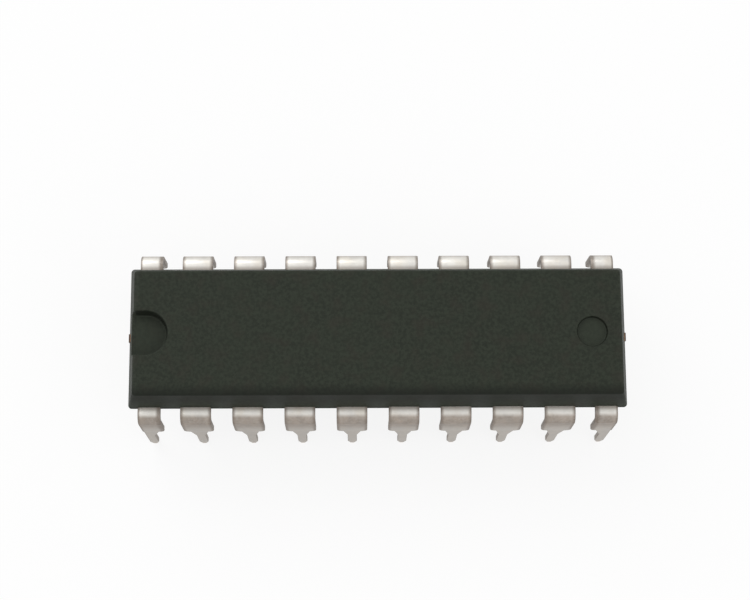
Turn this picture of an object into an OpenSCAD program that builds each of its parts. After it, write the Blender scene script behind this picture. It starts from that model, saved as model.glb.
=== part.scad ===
// Dual in-line integrated circuit: a moulded body round a stamped and formed leadframe.
// Units are millimetres. The part stands on its lead tips at z = 0, centred on the origin,
// with its length along X, the notched end at -X and leads 1 to 10 along the -Y side.

/* [Body] */
// Number of leads along each long side
leads_per_side = 10; // [6:2:10]
// Width of the body at the parting line
body_w = 6.95; // [6.1:0.05:7.1]
// How far the body reaches past the centre of its end leads
body_overhang = 0.735; // [0.6:0.005:1.5]
// Height of the body above the middle of the leads
body_above = 1.55; // [1.3:0.05:2.2]
// Depth of the body below the middle of the leads
body_below = 1.75; // [1.3:0.05:2.2]
// Draft angle of the long side walls
side_draft = 15; // [3:0.5:18]
// Draft angle of the end walls
end_draft = 12; // [3:0.5:15]
// Radius of the long edges of the top and the underside
edge_r = 0.16; // [0.05:0.01:0.3]

/* [Recesses] */
// Width of the orientation notch
notch_w = 2.2; // [1.2:0.1:3]
// How far the notch reaches in from the end
notch_len = 2; // [1.6:0.05:3]
// Depth of the notch below the top face
notch_depth = 0.7; // [0.3:0.05:0.9]
// Diameter of the dimple in the top face
dimple_d = 1.5; // [1:0.05:2]
// Depth of the dimple
dimple_depth = 0.2; // [0.1:0.05:0.5]
// Distance from the plain end of the body to the centre of the dimple
dimple_inset = 1.77; // [1.6:0.01:3]
// Draft angle of the walls of the notch and the dimple
recess_draft = 8; // [0:1:15]
// Diameter of the two ejector marks in the underside
ejector_d = 1.6; // [1:0.1:2.5]
// Depth of the ejector marks
ejector_depth = 0.08; // [0.04:0.01:0.2]
// Distance from each end of the body to its ejector mark
ejector_inset = 4.2; // [2:0.1:5]

/* [Leads outside the body] */
// Pitch of the leads
lead_pitch = 2.54; // [2.4:0.01:2.8]
// Distance between the two rows of lead tips, spread as supplied
row_spacing = 8.6; // [7.5:0.05:9.4]
// Thickness of the leadframe metal
lead_t = 0.25; // [0.2:0.01:0.3]
// Distance from the body's side to the outer face of a bent lead
lead_reach = 0.75; // [0.65:0.01:1]
// Inner radius of the bend
bend_r = 0.25; // [0.15:0.01:0.3]
// Width of a shoulder
shoulder_w = 1.5; // [1.2:0.02:1.7]
// Reach of an end lead's shoulder from the middle of its blade, towards the package's middle
end_shoulder_in = 0.83; // [0.6:0.01:0.9]
// Reach of an end lead's shoulder from the middle of its blade, towards the body's end
end_shoulder_out = 0.28; // [0.27:0.01:0.5]
// Radius of the lower corners of a shoulder
shoulder_corner_r = 0.3; // [0.1:0.01:0.35]
// Width where the shoulder ends and the neck begins
neck_w = 0.95; // [0.75:0.05:1.1]
// Length of the neck that narrows down to the blade
neck_len = 1.1; // [0.5:0.05:1.6]
// Width of the blade
blade_w = 0.46; // [0.38:0.01:0.53]
// Width of the blunt end of the tip
tip_w = 0.2; // [0.1:0.01:0.3]
// Length of the pointed tip
tip_len = 0.45; // [0.2:0.05:0.8]
// Gap between the seating plane and the body's underside
standoff = 0.51; // [0.38:0.01:1]
// Length of the leads below the seating plane
lead_below = 3.3; // [2.9:0.05:3.8]

/* [Leads inside the body] */
// How deep a shoulder runs into the body
root_len = 0.4; // [0.36:0.01:0.5]
// Depth of the anchor notches in the sides of a shoulder
anchor_depth = 0.18; // [0.1:0.01:0.22]
// Width of the anchor notches
anchor_w = 0.14; // [0.1:0.01:0.18]
// Distance from the body's side to an anchor notch
anchor_inset = 0.12; // [0.1:0.01:0.15]
// Width of a finger where it leaves its shoulder
finger_root_w = 0.9; // [0.6:0.05:1]
// Width of a finger at its tip
finger_w = 0.34; // [0.25:0.01:0.4]
// Gap between the fingers at the ends of the die pad, and between them and the tie bar
finger_gap = 0.2; // [0.15:0.01:0.3]
// Gap between the die pad and the finger tips
pad_gap = 0.25; // [0.2:0.01:0.35]
// Pitch of the finger tips along the long sides of the die pad
tip_pitch = 1.1; // [1:0.05:1.25]
// Straight length at the tips beside the long sides of the die pad
tip_straight = 0.2; // [0.1:0.01:0.25]
// Slope of the fingers that run to the ends of the die pad
finger_slope = 28; // [25:1:35]

/* [Die pad] */
// Length of the die pad
pad_l = 6.4; // [6:0.1:7]
// Width of the die pad
pad_w = 2.6; // [2.3:0.1:2.7]
// How far the die pad lies below the leads
pad_downset = 0.25; // [0.1:0.01:0.4]
// Width of the tie bars that held the die pad
tie_w = 0.4; // [0.3:0.05:0.5]
// Flat length of a tie bar between the die pad and its slope
tie_flat = 0.3; // [0.1:0.05:0.6]
// Length of a tie bar's slope
tie_slope_l = 0.4; // [0.3:0.05:0.8]
// How far a cut tie bar stands out of the body's end
tie_stub = 0.05; // [0.02:0.01:0.15]

/* [Die] */
// Length of the die
die_l = 3; // [2.8:0.1:4]
// Width of the die
die_w = 1.8; // [1.6:0.05:2]
// Thickness of the die
die_t = 0.28; // [0.2:0.01:0.35]
// Thickness of the adhesive under the die
attach_t = 0.03; // [0.02:0.005:0.05]
// How far the adhesive shows round the die
attach_margin = 0.12; // [0.05:0.01:0.15]

/* [Bond wires] */
// Diameter of a bond wire
wire_d = 0.03; // [0.02:0.002:0.05]
// Diameter of the ball on the die
ball_d = 0.08; // [0.06:0.005:0.1]
// Height of the ball
ball_h = 0.03; // [0.02:0.005:0.04]
// Distance from the edge of the die to the middle of a ball
ball_inset = 0.1; // [0.07:0.01:0.15]
// Pitch of the balls along the edges of the die
ball_pitch = 0.42; // [0.3:0.02:0.46]
// Height of the top of a wire's loop above the die
loop_h = 0.2; // [0.15:0.01:0.3]
// Distance from the ball to the top of the loop, seen from above
loop_lead = 0.2; // [0.1:0.01:0.3]
// Distance from a finger's tip to the end of its wire
stitch_setback = 0.3; // [0.2:0.01:0.35]
// Length of the flattened end of a wire
stitch_len = 0.08; // [0.05:0.01:0.12]

/* [Hidden] */
// Sides of a bond wire and its ball
WIRE_SIDES = 8;
// Segments along the falling part of a wire's loop
LOOP_STEPS = 4;
// Finger tips along each half of a long side of the die pad
SIDE_TIPS = 3;
// Segments of a rounded edge of the body
EDGE_STEPS = 5;
// How far joined shapes run into each other
OVERLAP = 0.05;
// Margin by which cutting shapes pass the faces they open
CUT = 1;
// Share of its thickness that a wire keeps at its flattened end
STITCH_THIN = 0.4;
// Growth in width of a wire at its flattened end
STITCH_WIDE = 1.5;

$fn = 48;

lead_count = 2 * leads_per_side;
last_rank = leads_per_side / 2 - 1;
body_l = (leads_per_side - 1) * lead_pitch + 2 * body_overhang;
wall_y = body_w / 2;
frame_z = lead_below + standoff + body_below;
top_z = frame_z + body_above;
bottom_z = frame_z - body_below;

bend_y = wall_y + lead_reach - lead_t - bend_r;
bend_z = frame_z - lead_t / 2 - bend_r;
bend_mid_r = bend_r + lead_t / 2;
row_offset = bend_y - row_spacing / 2;
// Lean that brings the middle of the tips to the row spacing: inward above nought, outward below
lean = atan2(row_offset, bend_z) + asin(bend_mid_r / norm([row_offset, bend_z]));

tip_side_y = pad_w / 2 + pad_gap;
tip_end_x = pad_l / 2 + pad_gap;
pad_top_z = frame_z - pad_downset + lead_t / 2;
die_z = pad_top_z + attach_t;
die_top_z = die_z + die_t;
finger_top_z = frame_z + lead_t / 2;
loop_z = die_top_z + loop_h;
wire_r = wire_d / 2;

mould_colour = [0.17, 0.18, 0.17];
tin_colour = [0.80, 0.79, 0.76];
copper_colour = [0.78, 0.52, 0.36];
adhesive_colour = [0.70, 0.70, 0.68];
silicon_colour = [0.36, 0.38, 0.44];
gold_colour = [0.95, 0.78, 0.30];

function two_digits(n) = n < 10 ? str("0", n) : str(n);
function lead_name(n) = str("lead_", two_digits(n));
function wire_name(n) = str("bond_wire_", two_digits(n));

// Leads count along the front from the notched end, then back along the rear
function is_front(n) = n <= leads_per_side;
function place_in_row(n) = is_front(n) ? n : lead_count + 1 - n;
function offset_in_row(n) = place_in_row(n) - (leads_per_side + 1) / 2;
function is_left(n) = offset_in_row(n) < 0;
// Rank 0 stands nearest the middle of the package
function rank_of(n) = floor(abs(offset_in_row(n)));

function lead_x(rank) = (rank + 0.5) * lead_pitch;
function reach_in(rank) = rank == last_rank ? end_shoulder_in : shoulder_w / 2;
function reach_out(rank) = rank == last_rank ? end_shoulder_out : shoulder_w / 2;

// Route of a finger in one quarter of the leadframe: root, knee and tip
function lands_on_side(rank) = rank < SIDE_TIPS;
function end_place(rank) = last_rank - rank;
function root_point(rank) = [
    lead_x(rank) + (reach_out(rank) - reach_in(rank)) / 2,
    wall_y - root_len + OVERLAP
];
function end_tip_y(rank) =
    tie_w / 2 + finger_gap + finger_w / 2 + end_place(rank) * (finger_w + finger_gap);
function tip_point(rank) = lands_on_side(rank)
    ? [(rank + 0.5) * tip_pitch, tip_side_y]
    : [tip_end_x, end_tip_y(rank)];
function knee_point(rank) = lands_on_side(rank)
    ? tip_point(rank) + [0, tip_straight]
    : [root_point(rank).x - (root_point(rank).y - end_tip_y(rank)) / tan(finger_slope), end_tip_y(rank)];
function tip_direction(rank) = lands_on_side(rank) ? [0, -1] : [-1, 0];

function unit(v) = v / norm(v);
function left_of(d) = [-d.y, d.x];
// Offset that keeps a strip's edges parallel where direction a turns into direction b
function mitre(a, b) = (left_of(a) + left_of(b)) / (1 + left_of(a) * left_of(b));

function finger_outline(rank) =
    let (
        root = root_point(rank),
        knee = knee_point(rank),
        tip = tip_point(rank),
        ahead = tip_direction(rank),
        turn = mitre(unit(knee - root), ahead) * finger_w / 2,
        side = left_of(ahead) * finger_w / 2,
        half_root = [finger_root_w / 2, 0]
    )
    [root + half_root, knee + turn, tip + side, tip - side, knee - turn, root - half_root];

// Outline of a strip of even thickness along a line of points
function strip(points, thickness) =
    let (
        last = len(points) - 1,
        ahead = [for (i = [0 : last - 1]) unit(points[i + 1] - points[i])],
        across = [for (i = [0 : last]) mitre(ahead[max(i - 1, 0)], ahead[min(i, last - 1)]) * thickness / 2]
    )
    concat(
        [for (i = [0 : last]) points[i] + across[i]],
        [for (i = [last : -1 : 0]) points[i] - across[i]]
    );

// Moves a shape made for the quarter at +X and +Y to the quarter of lead n
module in_quarter(n) {
    mirror([is_left(n) ? 1 : 0, 0, 0])
        mirror([0, is_front(n) ? 1 : 0, 0])
            children();
}

// Rounded edge as points on an arc
function edge_arc(centre, from, to) = [
    for (i = [0 : EDGE_STEPS])
        let (angle = from + (to - from) * i / EDGE_STEPS)
        centre + edge_r * [cos(angle), sin(angle)]
];

// Section of the body: two drafted halves that meet at the parting line, with rounded edges
module wall_profile(half_span, draft) {
    top_half = half_span - body_above * tan(draft);
    bottom_half = half_span - body_below * tan(draft);
    // Distance from a sharp edge to where its rounding starts
    setback = edge_r * tan(45 - draft / 2);
    right_side = concat(
        edge_arc([top_half - setback, top_z - edge_r], 90, draft),
        [[half_span, frame_z]],
        edge_arc([bottom_half - setback, bottom_z + edge_r], -draft, -90)
    );
    left_side = [for (i = [len(right_side) - 1 : -1 : 0]) [-right_side[i].x, right_side[i].y]];
    polygon(concat(right_side, left_side));
}

module body_block() {
    intersection() {
        translate([-body_l / 2 - CUT, 0, 0])
            rotate([90, 0, 90])
                linear_extrude(body_l + 2 * CUT)
                    wall_profile(body_w / 2, side_draft);
        translate([0, wall_y + CUT, 0])
            rotate([90, 0, 0])
                linear_extrude(body_w + 2 * CUT)
                    wall_profile(body_l / 2, end_draft);
    }
}

// Notch with a round inner end, open at the body's end, with drafted walls
module orientation_notch() {
    half_top = notch_w / 2;
    floor_z = top_z - notch_depth;
    cut_half = half_top + CUT * tan(recess_draft);
    floor_half = half_top - notch_depth * tan(recess_draft);
    centre_x = -body_l / 2 + notch_len - half_top;
    translate([centre_x, 0, floor_z])
        cylinder(h = notch_depth + CUT, r1 = floor_half, r2 = cut_half);
    translate([centre_x, 0, floor_z])
        rotate([90, 0, -90])
            linear_extrude(centre_x + body_l / 2 + CUT)
                polygon([
                    [-floor_half, 0],
                    [floor_half, 0],
                    [cut_half, notch_depth + CUT],
                    [-cut_half, notch_depth + CUT]
                ]);
}

module dimple() {
    floor_r = dimple_d / 2 - dimple_depth * tan(recess_draft);
    cut_r = dimple_d / 2 + CUT * tan(recess_draft);
    translate([body_l / 2 - dimple_inset, 0, top_z - dimple_depth])
        cylinder(h = dimple_depth + CUT, r1 = floor_r, r2 = cut_r);
}

module ejector_marks() {
    for (end = [-1, 1]) {
        translate([end * (body_l / 2 - ejector_inset), 0, bottom_z - CUT])
            cylinder(h = ejector_depth + CUT, d = ejector_d);
    }
}

// Flat part of a lead: finger, anchored root and the short run out to the bend
module lead_flat(rank) {
    span = reach_in(rank) + reach_out(rank);
    root_y = wall_y - root_len;
    translate([0, 0, frame_z - lead_t / 2]) linear_extrude(lead_t) {
        difference() {
            translate([lead_x(rank) - reach_in(rank), root_y])
                square([span, bend_y - root_y]);
            anchor_y = wall_y - anchor_inset - anchor_w;
            translate([lead_x(rank) - reach_in(rank) - CUT, anchor_y])
                square([CUT + anchor_depth, anchor_w]);
            translate([lead_x(rank) + reach_out(rank) - anchor_depth, anchor_y])
                square([CUT + anchor_depth, anchor_w]);
        }
        polygon(finger_outline(rank));
    }
}

// Bend and leg seen from the side, with Y to the right and Z up
module leg_profile() {
    outer_r = bend_r + lead_t;
    translate([bend_y, bend_z]) {
        intersection() {
            difference() {
                circle(outer_r);
                circle(bend_r);
            }
            polygon([
                [0, 0],
                [0, 2 * outer_r],
                [2 * outer_r, 2 * outer_r],
                2 * outer_r * [cos(lean), -sin(lean)]
            ]);
        }
        rotate(-lean)
            translate([bend_r, -bend_z - CUT])
                square([lead_t, bend_z + CUT]);
    }
}

// One half of a leg's outline from the front: shoulder, neck, blade and tip
module half_leg_outline(reach) {
    blade_half = blade_w / 2;
    corner_r = min(shoulder_corner_r, reach - blade_half);
    neck_half = max(min(neck_w / 2, reach - corner_r), blade_half);
    translate([0, lead_below + corner_r])
        square([reach, frame_z + lead_t - lead_below - corner_r]);
    translate([0, lead_below])
        square([reach - corner_r, corner_r]);
    translate([reach - corner_r, lead_below + corner_r])
        circle(corner_r);
    polygon([
        [0, lead_below + OVERLAP],
        [neck_half, lead_below + OVERLAP],
        [neck_half, lead_below],
        [blade_half, lead_below - neck_len],
        [blade_half, tip_len],
        [tip_w / 2, 0],
        [0, 0]
    ]);
}

module leg(rank) {
    far_y = max(bend_y + bend_r, row_spacing / 2) + lead_t + CUT;
    near_y = min(bend_y, row_spacing / 2) - CUT;
    intersection() {
        translate([lead_x(rank) - lead_pitch / 2, 0, 0])
            rotate([90, 0, 90])
                linear_extrude(lead_pitch)
                    leg_profile();
        translate([lead_x(rank), far_y, 0])
            rotate([90, 0, 0])
                linear_extrude(far_y - near_y) {
                    half_leg_outline(reach_out(rank));
                    mirror([1, 0]) half_leg_outline(reach_in(rank));
                }
    }
}

module lead(n) {
    color(tin_colour) in_quarter(n) {
        lead_flat(rank_of(n));
        leg(rank_of(n));
    }
}

module die_pad() {
    low_z = frame_z - pad_downset;
    slope_x = pad_l / 2 + tie_flat;
    tie_route = [
        [pad_l / 2 - OVERLAP, low_z],
        [slope_x, low_z],
        [slope_x + tie_slope_l, frame_z],
        [body_l / 2 + tie_stub, frame_z]
    ];
    color(copper_colour) {
        translate([-pad_l / 2, -pad_w / 2, low_z - lead_t / 2])
            cube([pad_l, pad_w, lead_t]);
        for (side = [0, 1]) {
            mirror([side, 0, 0])
                translate([0, tie_w / 2, 0])
                    rotate([90, 0, 0])
                        linear_extrude(tie_w)
                            polygon(strip(tie_route, lead_t));
        }
    }
}

module die_attach() {
    attach_l = die_l + 2 * attach_margin;
    attach_w = die_w + 2 * attach_margin;
    color(adhesive_colour)
        translate([-attach_l / 2, -attach_w / 2, pad_top_z])
            cube([attach_l, attach_w, attach_t]);
}

module silicon_die() {
    color(silicon_colour)
        translate([-die_l / 2, -die_w / 2, die_z])
            cube([die_l, die_w, die_t]);
}

// Ball on the die and stitch on the finger, seen from above, for one quarter
function ball_point(rank) = lands_on_side(rank)
    ? [(rank + 0.5) * ball_pitch, die_w / 2 - ball_inset]
    : [die_l / 2 - ball_inset, (end_place(rank) + 0.5) * ball_pitch];
function stitch_point(rank) = tip_point(rank) - tip_direction(rank) * stitch_setback;

// Middle line of a wire as distances from the ball and heights
function wire_line(length) =
    let (
        fall_end = length - stitch_len,
        fall = fall_end - loop_lead,
        land_z = finger_top_z + wire_r,
        rise_z = die_top_z + ball_h,
        rise = loop_z - rise_z
    )
    concat(
        [[0, rise_z - ball_h / 2], [0, rise_z + rise / 2], [loop_lead / 3, loop_z - rise / 8]],
        [for (i = [0 : LOOP_STEPS])
            let (t = i / LOOP_STEPS) [loop_lead + fall * t, loop_z - (loop_z - land_z) * t * t]],
        [[length, land_z]]
    );

// Ring of points round the wire, in the plane that halves its turn
function wire_ring(centre, across, wide, high) = [
    for (k = [0 : WIRE_SIDES - 1])
        let (
            angle = (k + 0.5) * 360 / WIRE_SIDES,
            corner_r = wire_r / cos(180 / WIRE_SIDES),
            step = across * corner_r * high * sin(angle)
        )
        [centre.x + step.x, corner_r * wide * cos(angle), centre.y + step.y]
];

module bond_wire(n) {
    rank = rank_of(n);
    start = ball_point(rank);
    span = stitch_point(rank) - start;
    line = wire_line(norm(span));
    last = len(line) - 1;
    ahead = [for (i = [0 : last - 1]) unit(line[i + 1] - line[i])];
    rings = [
        for (i = [0 : last])
            i == last
                ? wire_ring(line[i] - [0, wire_r * (1 - STITCH_THIN)], [0, 1], STITCH_WIDE, STITCH_THIN)
                : wire_ring(line[i], mitre(ahead[max(i - 1, 0)], ahead[i]), 1, 1)
    ];
    walls = [
        for (i = [0 : last - 1], k = [0 : WIRE_SIDES - 1])
            let (
                a = i * WIRE_SIDES + k,
                b = i * WIRE_SIDES + (k + 1) % WIRE_SIDES
            )
            [a, b, b + WIRE_SIDES, a + WIRE_SIDES]
    ];
    start_cap = [for (k = [WIRE_SIDES - 1 : -1 : 0]) k];
    end_cap = [for (k = [0 : WIRE_SIDES - 1]) last * WIRE_SIDES + k];
    color(gold_colour) in_quarter(n) {
        translate([start.x, start.y, 0]) {
            rotate(atan2(span.y, span.x))
                polyhedron(points = [for (ring = rings) each ring], faces = concat([start_cap, end_cap], walls));
            translate([0, 0, die_top_z])
                cylinder(h = ball_h, d = ball_d, $fn = WIRE_SIDES);
        }
    }
}

module body() {
    color(mould_colour) difference() {
        body_block();
        orientation_notch();
        dimple();
        ejector_marks();
        for (n = [1 : lead_count]) {
            in_quarter(n) lead_flat(rank_of(n));
            bond_wire(n);
        }
        die_pad();
        die_attach();
        silicon_die();
    }
}

body();
die_pad();
die_attach();
silicon_die();
for (n = [1 : lead_count]) {
    lead(n);
    bond_wire(n);
}
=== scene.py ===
"""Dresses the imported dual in-line package: moulded body, formed leads, the parts inside and the stage."""

import math

import bmesh
import bpy
from bpy.props import FloatProperty, FloatVectorProperty, IntProperty, PointerProperty
from bpy.types import NodeSocket, Operator, Panel, PropertyGroup
from mathutils import Matrix, Vector


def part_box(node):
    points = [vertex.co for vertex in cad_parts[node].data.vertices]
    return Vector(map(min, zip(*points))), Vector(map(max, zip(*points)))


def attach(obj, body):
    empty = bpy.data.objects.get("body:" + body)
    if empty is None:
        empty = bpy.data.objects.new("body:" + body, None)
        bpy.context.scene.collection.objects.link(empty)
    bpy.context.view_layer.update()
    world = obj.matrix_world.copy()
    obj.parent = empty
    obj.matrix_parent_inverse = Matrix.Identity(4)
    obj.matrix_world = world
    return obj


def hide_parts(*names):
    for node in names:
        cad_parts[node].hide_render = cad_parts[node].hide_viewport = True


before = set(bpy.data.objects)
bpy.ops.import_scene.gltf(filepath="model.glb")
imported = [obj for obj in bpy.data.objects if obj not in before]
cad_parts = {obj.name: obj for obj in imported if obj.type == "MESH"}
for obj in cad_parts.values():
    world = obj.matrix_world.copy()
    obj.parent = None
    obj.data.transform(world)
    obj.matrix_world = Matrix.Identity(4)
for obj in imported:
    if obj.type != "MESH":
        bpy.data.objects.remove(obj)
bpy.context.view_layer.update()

bl_info = {
    "name": "Dual In-Line Package",
    "version": (1, 0, 0),
    "blender": (4, 5, 0),
    "location": "3D View > Sidebar > Package",
    "description": "Models the body and the leads of a dual in-line package and finishes all its parts",
    "category": "Object",
}

MM = 0.001
LEADS_PER_SIDE = 10
LEAD_COUNT = 2 * LEADS_PER_SIDE
# A lead's rank counts from nought, from the middle of its row outwards
HALF_ROW = LEADS_PER_SIDE // 2
LAST_RANK = HALF_ROW - 1
RANKS_BESIDE_PAD = 3
LEAD_PITCH = 2.54 * MM
PHOTO_WIDTH_PX = 750
# How closely a face or an edge is picked by its place
SLACK = 0.01 * MM
FINE_SLACK = 0.001 * MM
BISECT_SLACK = 1e-7
MERGE_DISTANCE = 1e-6

body_low, body_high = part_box("body")
# The lead of the rear row that stands first on the plain side of the middle
first_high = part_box("lead_15")[1]
die_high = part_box("silicon_die")[1]


# Properties that a user would change

def length(name, text, default, smallest=0.0):
    return FloatProperty(name=name, description=text, default=default, min=smallest, precision=6,
                         subtype="DISTANCE", unit="LENGTH")


def turn(name, text, degrees):
    return FloatProperty(name=name, description=text, default=math.radians(degrees), subtype="ANGLE",
                         unit="ROTATION")


def tint(name, text, default):
    return FloatVectorProperty(name=name, description=text, default=default, size=3, min=0.0, max=1.0,
                               subtype="COLOR")


def power(name, text, default):
    return FloatProperty(name=name, description=text, default=default, min=0.0, unit="POWER")


class BodySizes(PropertyGroup):
    """Sizes of the moulded body"""

    body_length: length("Length", "Length of the body at the parting line", body_high.x - body_low.x)
    body_width: length("Width", "Width of the body at the parting line", body_high.y - body_low.y)
    thickness: length("Lead thickness", "Thickness of the leadframe at the parting line", 0.25 * MM)
    side_draft: turn("Side draft", "Draft of the long side walls", 15)
    end_draft: turn("End draft", "Draft of the end walls", 12)
    edge_setback: length("Edge rounding", "How far the rounding of the top and bottom edges reaches in",
                         0.11 * MM)
    corner_setback: length("Corner rounding", "How far the rounding of the upright corners reaches in",
                           0.15 * MM)
    rim_setback: length("Rim rounding", "How far the rims of the recesses are rounded", 0.035 * MM)
    notch_width: length("Notch width", "Width of the orientation notch at the top face", 2.2 * MM)
    notch_length: length("Notch length", "How far the notch reaches in from the end", 2.0 * MM)
    notch_depth: length("Notch depth", "Depth of the notch", 0.7 * MM)
    dimple_diameter: length("Dimple diameter", "Diameter of the dimple", 1.5 * MM)
    dimple_depth: length("Dimple depth", "Depth of the dimple", 0.2 * MM)
    dimple_inset: length("Dimple inset", "Distance from the plain end to the dimple's middle", 1.77 * MM)
    recess_draft: turn("Recess draft", "Draft of the walls of the notch and the dimple", 8)
    ejector_diameter: length("Ejector diameter", "Diameter of the marks in the underside", 1.6 * MM)
    ejector_depth: length("Ejector depth", "Depth of the marks in the underside", 0.08 * MM)
    ejector_inset: length("Ejector inset", "Distance from each end to its mark", 4.2 * MM)
    flash_height: length("Flash height", "Height of the ridge along the parting line", 0.04 * MM)
    flash_reach: length("Flash reach", "How far the ridge stands out", 0.012 * MM)
    colour: tint("Compound", "Colour of the mould compound", (0.0202, 0.0250, 0.0172))


class LeadSizes(PropertyGroup):
    """Sizes of the leads"""

    pitch: length("Pitch", "Distance between neighbouring leads", LEAD_PITCH)
    row_spacing: length("Row spacing", "Distance between the two rows of tips", 8.6 * MM)
    thickness: length("Thickness", "Thickness of the leadframe", 0.25 * MM)
    reach: length("Reach", "Distance from the body's side to the outer face of the bend", 0.75 * MM)
    bend_radius: length("Bend radius", "Inner radius of the bend", 0.25 * MM)
    bend_steps: IntProperty(name="Bend steps", description="Segments round the bend", default=18, min=4,
                            max=40)
    shoulder_width: length("Shoulder width", "Width of a shoulder", 1.5 * MM)
    end_reach_in: length("End lead inner reach", "Reach of an end lead's shoulder towards the middle",
                         0.83 * MM)
    end_reach_out: length("End lead outer reach", "Reach of an end lead's shoulder towards the end",
                          0.28 * MM)
    corner_radius: length("Corner radius", "Radius of the lower corners of a shoulder", 0.3 * MM)
    neck_width: length("Neck width", "Width where the shoulder ends", 0.95 * MM)
    neck_length: length("Neck length", "Length over which the neck narrows to the blade", 1.1 * MM)
    blade_width: length("Blade width", "Width of the blade", 0.46 * MM)
    tip_width: length("Tip width", "Width of the blunt end of the tip", 0.2 * MM)
    tip_length: length("Tip length", "Length of the pointed tip", 0.45 * MM)
    seating_height: length("Seating height", "Height of the seating plane above the tips", 3.3 * MM)
    root_length: length("Root length", "How deep a shoulder runs into the body", 0.4 * MM)
    anchor_depth: length("Anchor depth", "Depth of the anchor notches", 0.18 * MM)
    anchor_width: length("Anchor width", "Width of the anchor notches", 0.14 * MM)
    anchor_inset: length("Anchor inset", "Distance from the body's side to an anchor notch", 0.12 * MM)
    finger_root: length("Finger root", "Width of a finger where it leaves its shoulder", 0.9 * MM)
    finger_width: length("Finger width", "Width of a finger at its tip", 0.34 * MM)
    finger_gap: length("Finger gap", "Space between neighbouring fingers at the pad's ends", 0.2 * MM)
    pad_gap: length("Pad gap", "Space between the die pad and the finger tips", 0.25 * MM)
    tip_pitch: length("Tip pitch", "Pitch of the finger tips beside the pad", 1.1 * MM)
    tip_straight: length("Tip straight", "Straight length of a finger beside the pad", 0.2 * MM)
    finger_slope: turn("Finger slope", "Slope of the fingers that run to the ends of the pad", 28)
    pad_length: length("Pad length", "Length of the die pad", 6.4 * MM)
    pad_width: length("Pad width", "Width of the die pad", 2.6 * MM)
    tie_width: length("Tie width", "Width of the tie bars", 0.4 * MM)
    edge_rounding: length("Edge rounding", "Rounding of the stamped edges", 0.035 * MM)
    colour: tint("Tin", "Colour of the tin plating", (0.72, 0.70, 0.66))
    # Colour of the painted shade on the legs and roots, and of the tarnish with painted shade at the
    # sheared edges
    shade_and_tarnish_colour: tint("Dull tin", "Colour of the dulled legs and sheared edges", (0.25, 0.205, 0.17))


class CoreColours(PropertyGroup):
    """Colours of the parts inside the body"""

    copper: tint("Copper", "Colour of the bare leadframe", (0.74, 0.42, 0.26))
    adhesive: tint("Adhesive", "Colour of the silver-filled adhesive", (0.50, 0.50, 0.48))
    silicon: tint("Silicon", "Colour of the polished die", (0.10, 0.12, 0.17))
    gold: tint("Gold", "Colour of the bond wires", (0.95, 0.66, 0.22))


class StageSettings(PropertyGroup):
    """Floor, light and camera"""

    floor_size: length("Floor size", "Side of the floor", 3.0)
    floor_colour: tint("Floor", "Colour of the floor", (0.97, 0.97, 0.97))
    daylight: FloatProperty(name="Daylight", description="Strength of the light from all sides",
                            default=0.76, min=0)
    key_power: power("Key light", "Power of the light above the rear row", 0.38)
    fill_power: power("Fill light", "Power of the light from the front right", 0.2)
    azimuth: turn("Azimuth", "How far the camera stands round to the right of the front", -2.67)
    elevation: turn("Elevation", "How steeply the camera looks down", 77.79)
    roll: turn("Roll", "Turn of the camera about its own axis", 2.44)
    distance: length("Distance", "Distance from the camera to its aim", 89.24 * MM)
    aim_x: length("Aim X", "Aim along the body", -0.12 * MM, smallest=-1.0)
    aim_y: length("Aim Y", "Aim across the body", 1.91 * MM, smallest=-1.0)
    focal_px: FloatProperty(name="Focal length", description="Focal length in pixels of the photograph",
                            default=1805, min=1)


# Mesh helpers

def deselect_everything():
    active = bpy.context.view_layer.objects.active
    if active is not None and active.mode != "OBJECT":
        bpy.ops.object.mode_set(mode="OBJECT")
    bpy.ops.object.select_all(action="DESELECT")


def pick(piece):
    deselect_everything()
    piece.select_set(True)
    bpy.context.view_layer.objects.active = piece


def edit(piece, mode="FACE"):
    pick(piece)
    bpy.ops.object.mode_set(mode="EDIT")
    bpy.ops.mesh.select_mode(type=mode)


def leave_edit():
    bpy.ops.object.mode_set(mode="OBJECT")


def added(name):
    """Names the primitive that was just added and moves its place into its mesh."""
    piece = bpy.context.view_layer.objects.active
    piece.name = name
    piece.data.name = name
    bpy.ops.object.transform_apply(location=True, rotation=True, scale=True)
    return piece


def select(piece, kind, wanted):
    """Selects in edit mode the faces, edges or vertices for which wanted is true, and nothing else."""
    bpy.ops.mesh.select_all(action="DESELECT")
    mesh = bmesh.from_edit_mesh(piece.data)
    mesh.normal_update()
    found = [part for part in getattr(mesh, kind) if wanted(part)]
    if not found:
        raise RuntimeError(f"{piece.name} has no such {kind}")
    for part in found:
        part.select_set(True)
    bmesh.update_edit_mesh(piece.data)


def cut_across(place, direction):
    """Adds a loop of edges in edit mode where a plane cuts the piece."""
    bpy.ops.mesh.select_all(action="SELECT")
    bpy.ops.mesh.bisect(plane_co=place, plane_no=direction, threshold=BISECT_SLACK)


def apply_modifier(piece, kind, **settings):
    pick(piece)
    modifier = piece.modifiers.new(kind.lower(), kind)
    for key, value in settings.items():
        setattr(modifier, key, value)
    bpy.ops.object.modifier_apply(modifier=modifier.name)


def close_up(piece):
    """Merges doubled points and turns all faces outwards."""
    edit(piece, "VERT")
    bpy.ops.mesh.select_all(action="SELECT")
    bpy.ops.mesh.remove_doubles(threshold=MERGE_DISTANCE)
    bpy.ops.mesh.normals_make_consistent(inside=False)
    leave_edit()


def smooth(piece, degrees=35):
    pick(piece)
    bpy.ops.object.shade_smooth_by_angle(angle=math.radians(degrees))
    apply_modifier(piece, "WEIGHTED_NORMAL", keep_sharp=True, weight=100)


def keep(piece, finish, slot, *nodes):
    """Gives the piece its finish and its place in the frame."""
    piece.data.materials.clear()
    piece.data.materials.append(finish)
    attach(piece, "root")
    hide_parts(*nodes)


# Shader helpers

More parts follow.
